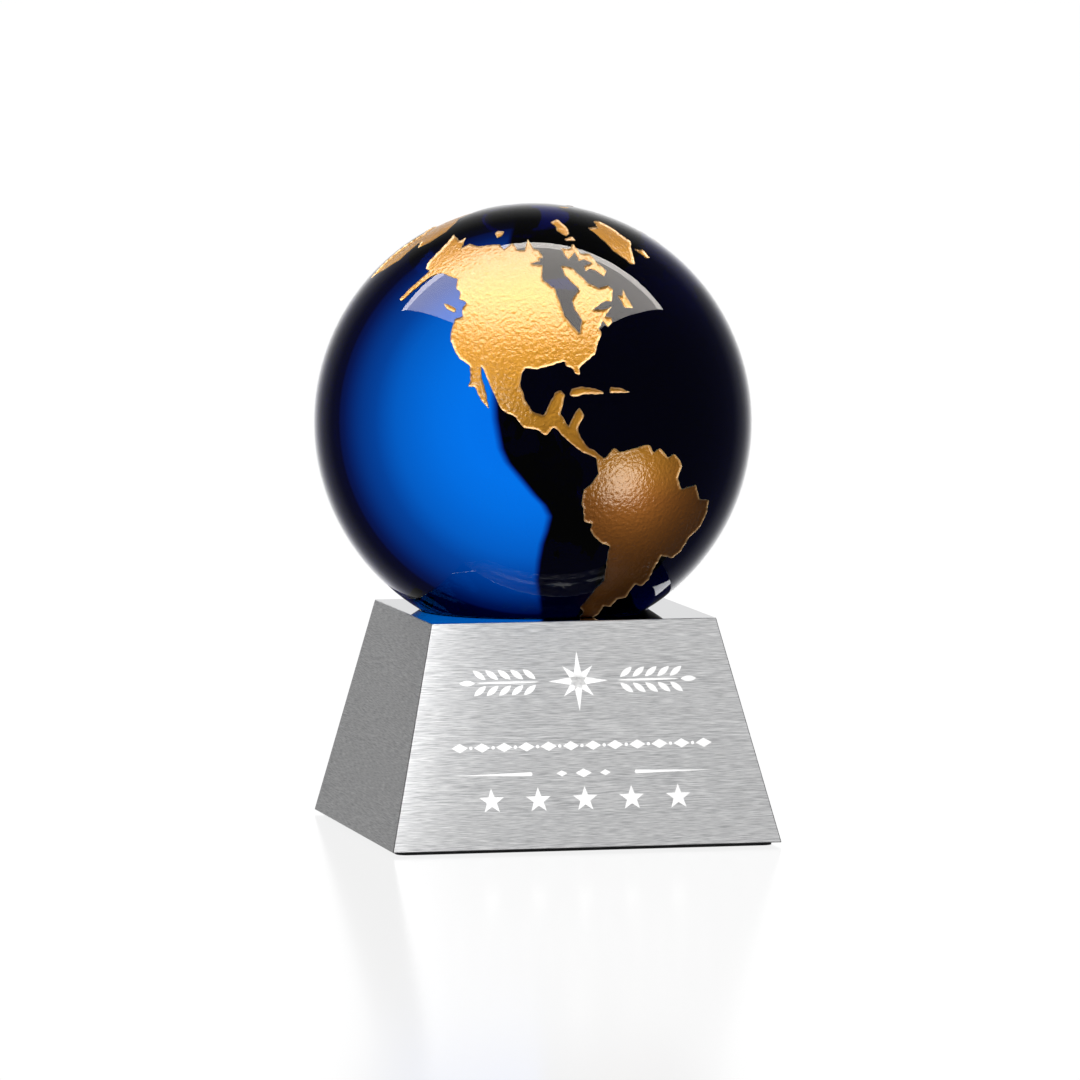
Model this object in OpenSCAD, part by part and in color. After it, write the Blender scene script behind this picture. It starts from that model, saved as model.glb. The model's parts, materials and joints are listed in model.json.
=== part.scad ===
// Desk award: a solid cobalt glass globe with etched, gilded lands, bonded to a tapered
// aluminium block that stands on a thin foam pad. Millimetres, +Z up, origin at the middle
// of the pad's underside, front of the block facing -Y.

/* [Globe] */
// Diameter of the glass ball
globe_d = 80; // [60:1:100]
// Sideways offset of the ball from the block's middle, as it was bonded
globe_shift_x = -1.9; // [-3:0.1:3]
// Height of the ball's centre over its ground flat, as a share of the radius
flat_share = 0.8535; // [0.75:0.005:0.95]
// Depth of the etched lands below the polished surface
etch_depth = 0.4; // [0.2:0.05:0.8]
// Thickness of the gold filling on the etched floor
gold_t = 0.15; // [0.1:0.01:0.2]

/* [Map] */
// Lean of the north pole towards the front, in degrees
map_lean_front = 12; // [-30:1:30]
// Lean of the north pole towards the left, in degrees
map_lean_left = 3; // [-30:1:30]
// Turn of the map about its poles, in degrees
map_spin = -7.5; // [-180:0.5:180]
// How far east of its true longitude the artwork draws the Old World's west coast
west_shift = 22; // [0:1:30]

/* [Block] */
// Width of the block at the bottom
block_w = 71.6; // [60:0.2:90]
// Depth of the block at the bottom
block_d = 73.9; // [60:0.1:90]
// Width of the block at the top
block_top_w = 52.6; // [44:0.2:60]
// Depth of the block at the top
block_top_d = 52; // [44:0.2:60]
// Height of the block
block_h = 40; // [25:1:60]
// Chamfer round the top and bottom edges
edge_chamfer = 0.3; // [0.1:0.05:1]

/* [Foot pad and bond] */
// Thickness of the foam pad
pad_t = 0.6; // [0.5:0.1:3]
// Inset of the pad from the block's bottom edges
pad_inset = 1.2; // [0.5:0.1:4]
// Corner radius of the pad
pad_r = 2; // [1:0.5:6]
// Thickness of the clear adhesive under the ball
bond_t = 0.12; // [0.05:0.01:0.3]

/* [Front artwork] */
// Depth of the marks cut in the front face, which white enamel fills flush
mark_t = 0.1; // [0.05:0.01:0.3]
// Width of the compass rose
rose_w = 11; // [6:0.5:14]
// Leaf pairs on each laurel spray
leaf_pairs = 5; // [3:1:6]
// Length of one laurel leaf
leaf_l = 2.9; // [2:0.1:3.5]
// Number of lozenges in the upper band
band_count = 12; // [6:1:14]
// Length of the upper band
band_l = 45; // [30:1:48]
// Length of each tapered rule
rule_l = 14.4; // [8:0.1:16]
// Number of stars in the lower row
star_count = 5; // [1:2:7]
// Width of one star
star_w = 4.8; // [3:0.1:6]

/* [Hidden] */

globe_r = globe_d / 2;
block_top_z = pad_t + block_h;
flat_z = block_top_z + bond_t;
globe_z = flat_z + globe_r * flat_share;
flat_r = globe_r * sqrt(1 - flat_share * flat_share);
etch_r = globe_r - etch_depth;

// Lands are cut as cones from the globe's centre, between these two heights
cone_low = globe_r * 0.3;
cone_high = globe_r + 1;

// Slope of the front face, and its length from the top edge to the bottom edge
face_run = (block_d - block_top_d) / 2;
face_slope = atan(face_run / block_h);
face_l = norm([face_run, block_h]);

// Distance of each row of marks below the front face's top edge
rose_drop = 11;
band_drop = 22.8;
rule_drop = 27.8;
star_drop = 32.6;
// Sprays start clear of the rose; lozenges and rules are this thick
spray_start = 7.2;
leaf_pitch = 2.3;
lozenge_w = 3;
lozenge_h = 1.7;
rule_t = 0.7;
rule_gap = 9.4;

gold = "goldenrod";
enamel = "white";
ball_fn = 180;

// Longitudes of the Old World's west and east coasts
west_coast = -17;
east_coast = 133;
// Middles of the widest lands' cones, each within 70 degrees of its coasts
eurasia_middle = [90, 50];
north_middle = [-100, 45];
south_middle = [-62, -15];

// Coastlines, simplified: [longitude, latitude] in degrees, east and north positive.
// Longitudes run past 180 where a coast crosses the date line.
NORTH_AMERICA = [
    // Arctic coast, from the Bering Strait to Hudson Bay
    [-164, 68], [-151, 67], [-150, 69], [-143, 65], [-141, 67], [-132, 67], [-118, 69],
    [-116, 68], [-113, 67], [-109, 70], [-104, 67], [-99, 67], [-98, 72], [-94, 68],
    [-90, 67], [-88, 64], [-91, 64], [-90, 62.5], [-96, 62], [-89, 61], [-90, 56],
    [-85, 53], [-83, 44], [-79, 39], [-77, 43],
    // Quebec, Labrador and the Maritimes
    [-79, 46], [-79, 49], [-74.5, 52], [-79, 57], [-79, 60.5], [-74, 59.5], [-72, 57],
    [-70, 54], [-66, 51.5], [-61, 52], [-60, 50.5], [-63, 47], [-66, 47.5], [-72, 45.5],
    [-67.5, 45], [-64, 45.5], [-68.5, 43], [-66, 42.5], [-66.5, 41], [-68.5, 40],
    // East coast, Florida and the Gulf
    [-69.5, 42], [-72, 40], [-71.5, 38.5], [-74, 35.5], [-75.5, 33], [-81, 30], [-81, 28],
    [-82.5, 28.5], [-83, 30], [-85, 30.5], [-85, 32], [-89, 31], [-94, 30], [-97, 30.5],
    [-98, 29], [-98.5, 26], [-97, 22], [-95, 19], [-92, 18],
    // Yucatan and the isthmus, down to the join with the south
    [-88.5, 24], [-87, 24.5], [-86, 23], [-87.5, 18.5], [-85.5, 15], [-83.5, 18.5],
    [-82, 19.5], [-81, 17.5], [-83, 14.5], [-82.5, 12], [-80.5, 9], [-78.5, 8], [-76, 5.5],
    [-77, 3], [-78.5, 6.5], [-82, 8], [-84.5, 10], [-86.5, 12], [-89.5, 15],
    // Pacific coast of Mexico, with the long peninsula
    [-91.5, 13], [-94, 14.5], [-97.5, 15], [-99.5, 17.5], [-103.5, 19.5], [-105, 22],
    [-109.5, 29.5], [-110.5, 30.5], [-110, 28], [-108.5, 24.5], [-107, 19.5], [-109.5, 22],
    [-111.5, 25], [-113.5, 25], [-113, 27], [-114, 30.5],
    // West coast to Alaska and its tail
    [-117.5, 32], [-120, 34], [-122.5, 37.5], [-123, 42.5], [-120.5, 43.5], [-121.5, 45.5],
    [-121, 48], [-124.5, 48.5], [-125, 50.5], [-128, 51.5], [-130, 54.5], [-135.5, 55],
    [-140.5, 55.5], [-144.5, 53.5], [-150, 44], [-151.5, 44.5], [-148, 54], [-148, 55],
    [-151, 55], [-154, 57], [-155.5, 61], [-158.5, 65]
];
SOUTH_AMERICA = [
    // Caribbean and Atlantic coasts
    [-78.5, 6.5], [-76, 6], [-73.5, 8.5], [-72, 7], [-67.5, 7.5], [-63.5, 8], [-62, 5.5],
    [-60, 6.5], [-57.5, 3.5], [-55.5, 4], [-54, 2.5], [-53, 0.5], [-54.5, -2.5], [-53, -6],
    [-50, -6], [-47.5, -6], [-45.5, -10.5], [-41, -12], [-40.5, -15.5], [-42, -19.5],
    [-46, -22], [-47.5, -26], [-50, -27.5], [-55.5, -25.5], [-56.5, -30], [-56.5, -34],
    [-58, -36], [-61.5, -34.5], [-62.5, -40], [-66, -40], [-66.5, -43.5], [-70, -42.5],
    // Southern tip and the Pacific coast
    [-70, -46.5], [-74, -49.5], [-77.5, -48.5], [-77, -44], [-79, -42], [-76, -34.5],
    [-73.5, -31], [-74, -24.5], [-74, -19], [-77, -17.5], [-80, -13.5], [-79.5, -11.5],
    [-81.5, -11], [-82, -7.5], [-82.5, -5], [-82, -2], [-80, -0.5], [-78, 2]
];
EURASIA = old_world([
    // Pacific coast, from the far north-east to the Malay peninsula
    [184, 67], [187, 62], [185, 58.5], [177, 60], [183, 53], [179, 48], [173, 43], [168, 47],
    [163, 54], [160, 60], [155, 59], [143, 59], [136, 54], [141, 51], [140, 46], [135, 43],
    [130, 42], [127, 39], [129, 36], [126, 34], [126, 38], [121, 40], [118, 39], [122, 37],
    [119, 35], [122, 31], [120, 26], [117, 23], [110, 21], [106, 19], [109, 13], [105, 9],
    [102, 13], [99, 11], [103, 4], [104, 1], [101, 3],
    // Indian Ocean
    [98, 8], [98, 15], [94, 16], [92, 21], [89, 22], [86, 20], [80, 15], [80, 11], [77, 8],
    [73, 16], [72, 21], [67, 24], [57, 26], [51, 30], [48, 30], [51, 25], [54, 24], [59, 22],
    [55, 18], [45, 13], [43, 14], [39, 21], [35, 28], [33, 28],
    // Mediterranean and Black Sea
    [32, 31], [34, 31], [36, 36], [28, 37], [27, 40], [35, 42], [41, 41], [37, 45],
    [31, 46], [28, 43], [28, 41.5], [24, 40.5], [22, 37], [19, 41], [13, 45], [18, 40],
    [16, 38], [11, 43], [7, 43.5], [3, 42], [0, 39], [-2, 37], [-6, 36],
    // Atlantic, Baltic and Arctic coasts
    [-9, 38], [-9, 43], [-2, 43], [-1, 46], [-4, 48], [2, 51], [8, 54], [8, 57], [10, 56],
    [10, 54], [19, 54.5], [23, 59], [29, 60], [22, 61], [25, 65], [21, 64], [17, 61],
    [17, 57], [14, 55.5], [11, 59], [6, 58], [5, 62], [14, 67], [25, 71], [41, 67],
    [36, 65], [44, 66], [45, 68], [60, 69], [68, 73], [72, 67], [80, 73], [104, 78],
    [113, 74], [127, 73], [140, 73], [160, 70], [170, 70]
]);
CASPIAN_SEA = old_world([
    [48, 46], [53, 46.5], [54, 42], [54, 37.5], [50, 37.5], [49, 41]
]);
AFRICA = old_world([
    [35, 31], [32, 31], [25, 32], [20, 31], [16, 31.5], [11, 34], [11, 37], [0, 36], [-6, 36],
    [-10, 31], [-17, 21], [-17, 15], [-13, 9], [-8, 4], [2, 6], [9, 4], [9, -1], [13, -6],
    [14, -11], [12, -18], [15, -27], [18, -33], [20, -35], [26, -34], [33, -28], [35, -24],
    [35, -20], [40, -15], [39, -6], [42, -1], [48, 5], [51, 11.5], [43, 11], [37, 20],
    [33.5, 28], [34, 29]
]);
AUSTRALIA = old_world([
    [114, -22], [117, -20.5], [122, -18], [126, -14], [130, -12], [136, -12], [136, -15],
    [140, -17.5], [141, -13], [142.5, -11], [146, -19], [150, -22], [153, -26], [152, -32],
    [150, -37], [145, -39], [140, -37], [138, -33], [135, -35], [131, -31.5], [124, -33.5],
    [118, -35], [115, -34], [114, -27]
]);
GREENLAND = [
    [-34, 73], [-24, 71.5], [-13, 73.5], [-7, 72], [-13, 68], [-17.5, 65.5], [-20.5, 62],
    [-28.5, 60.5], [-38, 56], [-40.5, 56.5], [-42, 63], [-41, 64]
];
BAFFIN_ISLAND = [
    [-75, 67.5], [-69.5, 66.5], [-64, 68.5], [-64.5, 64], [-59, 63.5], [-59, 59.5],
    [-57, 56.5], [-60.5, 55], [-62.5, 57], [-65, 58.5], [-68, 57.5], [-67, 59.5], [-61.5, 60],
    [-65, 62], [-68.5, 61.5], [-67.5, 65], [-73.5, 62.5], [-74.5, 64]
];
ELLESMERE_ISLAND = [
    [-65, 80], [-47, 81], [-53, 76], [-58.5, 73], [-64, 72], [-68, 75], [-63, 78]
];
DEVON_ISLAND = [[-67.5, 71], [-59.5, 71.5], [-59.5, 69.5], [-67.5, 70]];
BANKS_ISLAND = [[-130, 73.5], [-130, 75], [-123, 75], [-122, 73], [-124, 71.5]];
NEWFOUNDLAND = [
    [-55.5, 50], [-56, 47], [-55.5, 44], [-59, 44.5], [-59, 47], [-59.5, 48.5], [-57.5, 48]
];
HAIDA_GWAII = [[-130, 46.5], [-128.5, 46.5], [-124, 45.5], [-124, 44.5], [-127.5, 45]];
CUBA = [
    [-84.5, 23], [-84, 24.5], [-81, 25], [-77, 24], [-75, 23], [-75, 22.5], [-80.5, 23],
    [-83.5, 22.5]
];
HISPANIOLA = [[-72.5, 24], [-69.5, 23.5], [-67, 22], [-73, 22.5]];
ICELAND = [[-26.5, 60], [-24, 59], [-20.5, 58.5], [-24, 55.5], [-26.5, 56]];
GREAT_BRITAIN = old_world([
    [-5, 50], [1, 51], [1, 53], [-2, 56], [-3, 58.5], [-6, 58], [-5, 55], [-3, 54], [-5, 52]
]);
IRELAND = old_world([[-10, 52], [-6, 52], [-6, 55], [-9, 54.5]]);
SVALBARD = old_world([[11, 79], [20, 80], [25, 79.5], [18, 77]]);
NOVAYA_ZEMLYA = old_world([[52, 71], [57, 71], [60, 75], [68, 76.5], [57, 75.5]]);
MADAGASCAR = old_world([[44, -24], [47, -25], [50, -16], [49, -12], [44, -17]]);
SRI_LANKA = old_world([[80, 6], [82, 7], [80, 9.5]]);
SUMATRA = old_world([[95, 5.5], [98, 4], [104, -2], [106, -5.5], [102, -4], [98, 1]]);
JAVA = old_world([[105.5, -6.5], [114, -7], [115, -8.5], [106, -8]]);
BORNEO = old_world([[109, 2], [114, 4], [117, 7], [119, 5], [117, 1], [116, -4], [111, -3]]);
SULAWESI = old_world([
    [119.5, -5.5], [121, -5.5], [121, -2.5], [123, -4.5], [122, -1], [125, 1.5], [120, 1.5],
    [119, -3]
]);
NEW_GUINEA = old_world([
    [131, -1], [135, -2.5], [141, -2.5], [147, -6], [151, -10], [147, -9.5], [143, -9],
    [138, -8], [138, -5], [133, -3.5]
]);
LUZON = old_world([[120, 16], [121, 18.5], [122.5, 18], [122, 15], [124, 13], [120.5, 14]]);
MINDANAO = old_world([[122, 7], [124, 9], [126, 9.5], [126, 6.5], [124, 6]]);
TAIWAN = old_world([[120, 23], [121, 25], [122, 25], [121, 22]]);
HONSHU = old_world([
    [130, 31], [132, 32], [132, 34], [136, 33.5], [140, 35], [142, 39], [141, 41.5],
    [139.5, 39], [137, 37], [132, 35.5], [130, 33.5]
]);
HOKKAIDO = old_world([[140, 42], [143, 42], [145, 43.5], [142, 45.5], [141, 43.5]]);
SAKHALIN = old_world([[142, 46], [143.5, 47], [144, 49], [143.5, 54], [142.5, 53]]);
TASMANIA = [[145, -41], [148, -41], [147, -43.5]];
NORTH_NEW_ZEALAND = [[173, -35], [176, -37.5], [178, -38], [175.5, -41.5], [174, -39.5]];
SOUTH_NEW_ZEALAND = [[173, -41], [174, -42], [171, -46], [167, -46], [171, -42]];

// Outline with its longitudes moved east: by the full shift on the Old World's west coast,
// easing to nothing on its east coast
function old_world(outline) =
    [for (p = outline)
        [p[0] + west_shift * max(0, east_coast - p[0]) / (east_coast - west_coast), p[1]]];

// Mean of an outline's points, used as the middle that its cone is drawn about
function middle(outline) =
    [for (axis = [0, 1]) [for (p = outline) p[axis]] * [for (p = outline) 1] / len(outline)];

// Place p on the flat plane that touches the unit globe at centre c
function on_plane(p, c) =
    let (turn = p[0] - c[0])
    let (ahead = cos(p[1]) * cos(turn) * cos(c[1]) + sin(p[1]) * sin(c[1]))
    let (south = cos(p[1]) * cos(turn) * sin(c[1]) - sin(p[1]) * cos(c[1]))
    [south / ahead, cos(p[1]) * sin(turn) / ahead];

// Sets the map's children on the globe, spun and leaned
module on_globe() {
    translate([globe_shift_x, 0, globe_z])
        rotate([0, -map_lean_left, 0])
            rotate([map_lean_front, 0, 0])
                rotate([0, 0, map_spin])
                    children();
}

// Cone from the globe's centre through one coastline
module land(outline, centre = []) {
    c = len(centre) == 2 ? centre : middle(outline);
    rotate([0, 90 - c[1], c[0]])
        translate([0, 0, cone_low])
            linear_extrude(height = cone_high - cone_low, scale = cone_high / cone_low)
                polygon([for (p = outline) on_plane(p, c) * cone_low]);
}

// Gold on the etched floor of the lands given as children
module gilding() {
    color(gold)
        on_globe()
            intersection() {
                children();
                difference() {
                    sphere(r = etch_r + gold_t, $fn = ball_fn);
                    sphere(r = etch_r, $fn = ball_fn);
                }
            }
}

module americas() {
    land(NORTH_AMERICA, north_middle);
    land(SOUTH_AMERICA, south_middle);
}

module afro_eurasia() {
    difference() {
        land(EURASIA, eurasia_middle);
        land(CASPIAN_SEA, eurasia_middle);
    }
    land(AFRICA);
}

// Every land's cone, for the etching
module all_lands() {
    americas();
    afro_eurasia();
    for (outline = [
        GREENLAND, BAFFIN_ISLAND, ELLESMERE_ISLAND, DEVON_ISLAND, BANKS_ISLAND, NEWFOUNDLAND,
        HAIDA_GWAII, CUBA, HISPANIOLA, ICELAND, GREAT_BRITAIN, IRELAND, SVALBARD,
        NOVAYA_ZEMLYA, MADAGASCAR, SRI_LANKA, SUMATRA, JAVA, BORNEO, SULAWESI, NEW_GUINEA,
        LUZON, MINDANAO, TAIWAN, HONSHU, HOKKAIDO, SAKHALIN, AUSTRALIA, TASMANIA,
        NORTH_NEW_ZEALAND, SOUTH_NEW_ZEALAND
    ])
        land(outline);
}

// Solid ball, ground flat underneath and etched where the lands are
module globe_glass() {
    color("mediumblue")
        difference() {
            translate([globe_shift_x, 0, globe_z])
                sphere(r = globe_r, $fn = ball_fn);
            translate([globe_shift_x - globe_r, -globe_r, flat_z - globe_r])
                cube([globe_d, globe_d, globe_r]);
            on_globe()
                difference() {
                    all_lands();
                    sphere(r = etch_r, $fn = ball_fn);
                }
        }
}

// Side profile of the block, chamfered at the top and bottom edges
module block_profile(low, high) {
    lean = (low - high) / 2 / block_h * edge_chamfer;
    polygon([
        [-low / 2 + edge_chamfer, 0], [low / 2 - edge_chamfer, 0],
        [low / 2 - lean, edge_chamfer], [high / 2 + lean, block_h - edge_chamfer],
        [high / 2 - edge_chamfer, block_h], [-high / 2 + edge_chamfer, block_h],
        [-high / 2 - lean, block_h - edge_chamfer], [-low / 2 + lean, edge_chamfer]
    ]);
}

// Sinks its flat children into the front face, drop millimetres below its top edge.
// A cutter stands proud of the face, and a filling doesn't.
module on_front(drop, proud = 0) {
    translate([0, -block_top_d / 2, block_top_z])
        rotate([90 - face_slope, 0, 0])
            translate([0, -drop, -mark_t])
                linear_extrude(height = mark_t + proud)
                    children();
}

module base_block() {
    color("silver")
        difference() {
            translate([0, 0, pad_t])
                intersection() {
                    rotate([90, 0, 0])
                        linear_extrude(height = block_d, center = true)
                            block_profile(block_w, block_top_w);
                    rotate([90, 0, 90])
                        linear_extrude(height = block_w, center = true)
                            block_profile(block_d, block_top_d);
                }
            on_front(rose_drop, 1)
                rose();
            on_front(rose_drop, 1)
                sprays();
            on_front(band_drop, 1)
                band();
            on_front(rule_drop, 1)
                rules();
            on_front(star_drop, 1)
                stars();
        }
}

// Foam pad, glued inside the block's bottom edges
module foot_pad() {
    w = block_w / 2 - pad_inset - pad_r;
    d = block_d / 2 - pad_inset - pad_r;
    color("black")
        linear_extrude(height = pad_t)
            union() {
                square([2 * (w + pad_r), 2 * d], center = true);
                square([2 * w, 2 * (d + pad_r)], center = true);
                for (x = [-w, w], y = [-d, d])
                    translate([x, y])
                        circle(r = pad_r, $fn = 48);
            }
}

// Clear adhesive between the block and the ball's flat
module bond_film() {
    color("lightcyan")
        translate([globe_shift_x, 0, block_top_z])
            cylinder(r = flat_r, h = bond_t, $fn = ball_fn);
}

// Star with a number of points, point up
module star(points, outer, inner) {
    polygon([for (i = [0:2 * points - 1])
        (i % 2 == 0 ? outer : inner) * [sin(i * 180 / points), cos(i * 180 / points)]]);
}

module lozenge(w, h) {
    polygon([[-w / 2, 0], [0, -h / 2], [w / 2, 0], [0, h / 2]]);
}

// Pointed leaf along +X, between two arcs
module leaf(length, width) {
    r = (length * length / 4 + width * width / 4) / width;
    translate([length / 2, 0])
        intersection() {
            translate([0, r - width / 2])
                circle(r = r, $fn = 64);
            translate([0, width / 2 - r])
                circle(r = r, $fn = 64);
        }
}

// Compass rose: four long points over four short ones
module rose() {
    union() {
        star(4, rose_w / 2, rose_w * 0.1);
        rotate(45)
            star(4, rose_w * 0.36, rose_w * 0.1);
    }
}

// One laurel spray on each side, growing outwards from the rose
module sprays() {
    for (side = [0, 1])
        mirror([side, 0])
            translate([spray_start, 0]) {
                translate([0, -0.16])
                    square([leaf_pairs * leaf_pitch, 0.32]);
                for (i = [0:leaf_pairs - 1], up = [-1, 1])
                    translate([i * leaf_pitch + 0.6, up * 0.55])
                        rotate(up * 38)
                            leaf(leaf_l, leaf_l * 0.36);
                translate([leaf_pairs * leaf_pitch + 0.3, 0])
                    leaf(leaf_l, leaf_l * 0.36);
            }
}

// Row of lozenges with a bead between each two
module band() {
    pitch = band_l / (band_count - 1);
    for (i = [0:band_count - 1])
        translate([(i - (band_count - 1) / 2) * pitch, 0])
            lozenge(lozenge_w, lozenge_h);
    for (i = [0:band_count - 2])
        translate([(i - (band_count - 2) / 2) * pitch, 0])
            circle(r = 0.32, $fn = 24);
}

// Two rules that taper outwards, with three small lozenges between them
module rules() {
    for (side = [0, 1])
        mirror([side, 0])
            translate([rule_gap, 0])
                polygon([[0, -rule_t / 2], [rule_l, -0.05], [rule_l, 0.05], [0, rule_t / 2]]);
    for (x = [-4, 0, 4])
        translate([x, 0])
            lozenge(x == 0 ? 3 : 2, x == 0 ? 1.6 : 1.1);
}

module stars() {
    pitch = 8.6;
    for (i = [0:star_count - 1])
        translate([(i - (star_count - 1) / 2) * pitch, 0])
            star(5, star_w / 2, star_w * 0.2);
}

module rose_fill() { color(enamel) on_front(rose_drop) rose(); }
module laurel_fill() { color(enamel) on_front(rose_drop) sprays(); }
module band_fill() { color(enamel) on_front(band_drop) band(); }
module rule_fill() { color(enamel) on_front(rule_drop) rules(); }
module star_fill() { color(enamel) on_front(star_drop) stars(); }

module americas_gold() { gilding() americas(); }
module afro_eurasia_gold() { gilding() afro_eurasia(); }
module greenland_gold() { gilding() land(GREENLAND); }
module baffin_island_gold() { gilding() land(BAFFIN_ISLAND); }
module ellesmere_island_gold() { gilding() land(ELLESMERE_ISLAND); }
module devon_island_gold() { gilding() land(DEVON_ISLAND); }
module banks_island_gold() { gilding() land(BANKS_ISLAND); }
module newfoundland_gold() { gilding() land(NEWFOUNDLAND); }
module haida_gwaii_gold() { gilding() land(HAIDA_GWAII); }
module cuba_gold() { gilding() land(CUBA); }
module hispaniola_gold() { gilding() land(HISPANIOLA); }
module iceland_gold() { gilding() land(ICELAND); }
module great_britain_gold() { gilding() land(GREAT_BRITAIN); }
module ireland_gold() { gilding() land(IRELAND); }
module svalbard_gold() { gilding() land(SVALBARD); }
module novaya_zemlya_gold() { gilding() land(NOVAYA_ZEMLYA); }
module madagascar_gold() { gilding() land(MADAGASCAR); }
module sri_lanka_gold() { gilding() land(SRI_LANKA); }
module sumatra_gold() { gilding() land(SUMATRA); }
module java_gold() { gilding() land(JAVA); }
module borneo_gold() { gilding() land(BORNEO); }
module sulawesi_gold() { gilding() land(SULAWESI); }
module new_guinea_gold() { gilding() land(NEW_GUINEA); }
module luzon_gold() { gilding() land(LUZON); }
module mindanao_gold() { gilding() land(MINDANAO); }
module taiwan_gold() { gilding() land(TAIWAN); }
module honshu_gold() { gilding() land(HONSHU); }
module hokkaido_gold() { gilding() land(HOKKAIDO); }
module sakhalin_gold() { gilding() land(SAKHALIN); }
module australia_gold() { gilding() land(AUSTRALIA); }
module tasmania_gold() { gilding() land(TASMANIA); }
module north_new_zealand_gold() { gilding() land(NORTH_NEW_ZEALAND); }
module south_new_zealand_gold() { gilding() land(SOUTH_NEW_ZEALAND); }

base_block();
foot_pad();
bond_film();
globe_glass();
rose_fill();
laurel_fill();
band_fill();
rule_fill();
star_fill();
americas_gold();
afro_eurasia_gold();
greenland_gold();
baffin_island_gold();
ellesmere_island_gold();
devon_island_gold();
banks_island_gold();
newfoundland_gold();
haida_gwaii_gold();
cuba_gold();
hispaniola_gold();
iceland_gold();
great_britain_gold();
ireland_gold();
svalbard_gold();
novaya_zemlya_gold();
madagascar_gold();
sri_lanka_gold();
sumatra_gold();
java_gold();
borneo_gold();
sulawesi_gold();
new_guinea_gold();
luzon_gold();
mindanao_gold();
taiwan_gold();
honshu_gold();
hokkaido_gold();
sakhalin_gold();
australia_gold();
tasmania_gold();
north_new_zealand_gold();
south_new_zealand_gold();
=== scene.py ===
import json
import math
from functools import partial

import bmesh
import bpy
import numpy as np
from mathutils import Matrix, Vector, geometry, noise
from mathutils.kdtree import KDTree

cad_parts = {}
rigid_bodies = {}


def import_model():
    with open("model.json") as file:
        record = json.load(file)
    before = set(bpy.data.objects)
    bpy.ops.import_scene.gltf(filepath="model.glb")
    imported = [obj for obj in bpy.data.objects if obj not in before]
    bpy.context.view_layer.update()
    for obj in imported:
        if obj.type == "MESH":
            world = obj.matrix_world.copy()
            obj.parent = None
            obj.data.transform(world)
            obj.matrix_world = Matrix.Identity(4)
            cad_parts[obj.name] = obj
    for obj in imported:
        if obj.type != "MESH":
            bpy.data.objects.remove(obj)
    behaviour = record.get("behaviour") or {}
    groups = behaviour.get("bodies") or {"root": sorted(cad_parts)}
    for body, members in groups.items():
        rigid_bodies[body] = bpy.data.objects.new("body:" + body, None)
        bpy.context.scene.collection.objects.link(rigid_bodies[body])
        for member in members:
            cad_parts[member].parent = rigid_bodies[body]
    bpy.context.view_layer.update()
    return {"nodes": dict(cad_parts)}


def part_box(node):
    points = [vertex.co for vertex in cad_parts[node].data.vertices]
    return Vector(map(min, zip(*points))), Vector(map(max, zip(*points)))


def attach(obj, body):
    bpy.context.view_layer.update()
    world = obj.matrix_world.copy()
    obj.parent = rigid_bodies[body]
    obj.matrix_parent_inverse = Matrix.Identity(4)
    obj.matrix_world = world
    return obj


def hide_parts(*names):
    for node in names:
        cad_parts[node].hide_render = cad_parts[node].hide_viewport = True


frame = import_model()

mm = 0.001
scene = bpy.context.scene


def linearColor(hexCode):
    # sRGB hex to the linear colour that the shaders take
    parts = [int(hexCode[i:i + 2], 16) / 255 for i in (1, 3, 5)]
    return [p / 12.92 if p <= 0.04045 else ((p + 0.055) / 1.055) ** 2.4 for p in parts] + [1.0]


def addNode(tree, kind, inputs=(), stops=(), **properties):
    # a shader node's kind goes without its prefix; inputs go in order, or by socket name or
    # number; each is a value or what feeds the socket, where a node stands for its first
    # output; stops are a ramp's brightnesses
    node = tree.nodes.new(kind if "Node" in kind else "ShaderNode" + kind)
    for name, value in properties.items():
        setattr(node, name, value)
    inputs = inputs if isinstance(inputs, dict) else dict(enumerate(inputs))
    for socket, value in inputs.items():
        if isinstance(value, bpy.types.Node):
            value = value.outputs[0]
        if isinstance(value, bpy.types.NodeSocket):
            tree.links.new(value, node.inputs[socket])
        else:
            node.inputs[socket].default_value = value
    if stops:
        elements = node.color_ramp.elements
        elements.remove(elements[1])
        for i, (at, level) in enumerate(stops):
            element = elements.new(at) if i else elements[0]
            element.position, element.color = at, (level, level, level, 1)
    return node


def newMaterial(name):
    # a material with an empty tree, and what adds nodes to it
    material = bpy.data.materials.new(name)
    material.use_nodes = True
    material.node_tree.nodes.clear()
    return material, partial(addNode, material.node_tree)


def newPiece(name, mesh, slotName, *nodes):
    # a finished mesh becomes a piece that stands for its CAD nodes
    piece = bpy.data.objects.new(name, mesh)
    scene.collection.objects.link(piece)
    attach(piece, "root")
    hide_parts(*nodes)


# the ball's centre and radius follow from the disc of adhesive and the cap that stands on it
bondLow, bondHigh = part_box("bond_film")
ballLow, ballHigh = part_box("globe_glass")
flatRadius = (bondHigh.x - bondLow.x) / 2
capHeight = ballHigh.z - ballLow.z
ballRadius = (capHeight ** 2 + flatRadius ** 2) / (2 * capHeight)
ballCentre = Vector(((bondLow.x + bondHigh.x) / 2, (bondLow.y + bondHigh.y) / 2,
                     ballHigh.z - ballRadius))
centreArray = np.array(ballCentre)


# Materials

cobaltGlass = {
    "ior": 1.5,
    "redLoss": 130.0,      # absorption per metre
    "greenLoss": 23.0,     # 80 mm of glass keeps a sixth of the green
    "blueLoss": 2.5,
}


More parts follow.
